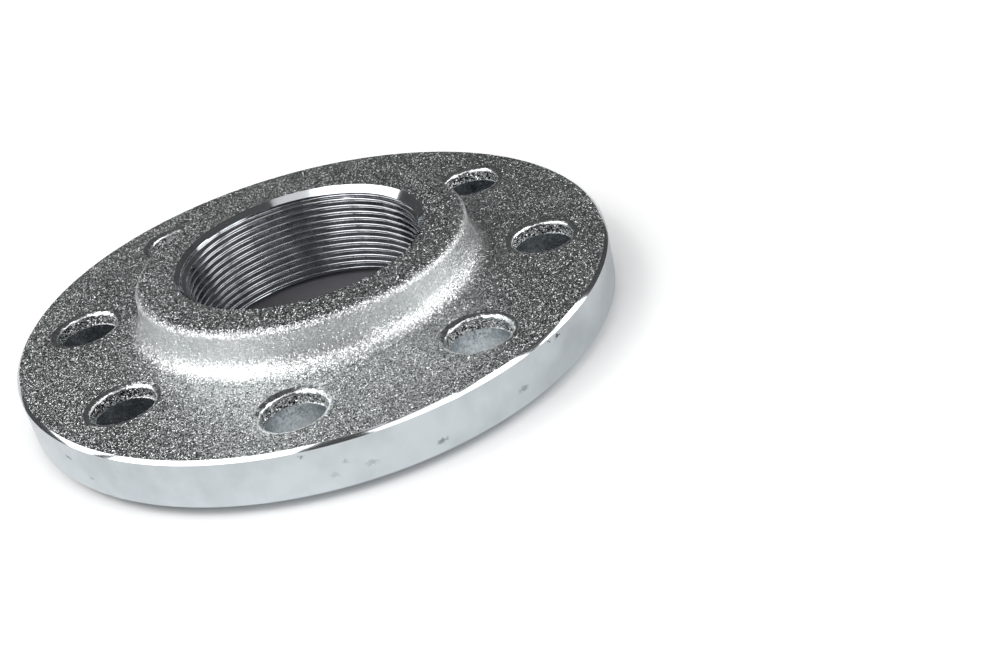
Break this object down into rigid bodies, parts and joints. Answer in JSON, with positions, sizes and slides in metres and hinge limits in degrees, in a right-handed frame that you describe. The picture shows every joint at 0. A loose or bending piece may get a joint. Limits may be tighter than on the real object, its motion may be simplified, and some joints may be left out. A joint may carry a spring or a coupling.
{
  "type": "threaded pipe flange",
  "caption": "Round steel pipe flange with a low threaded hub, a ring of bolt holes and a raised sealing face.",
  "frame": {"origin": "centre of the raised sealing face, on which the flange lies", "axes": "+Z along the bore's axis, from the sealing face up to the hub; +X and +Y run midway between bolt holes"},
  "size_m": [0.185, 0.185, 0.032],
  "materials": {
    "galvanised_steel": "hot-forged steel under a thin zinc coat: grainy skin on the faces and hub, turned rim and bore"
  },
  "bodies": {
    "root": {"flange": "galvanised_steel"}
  },
  "joints": []
}
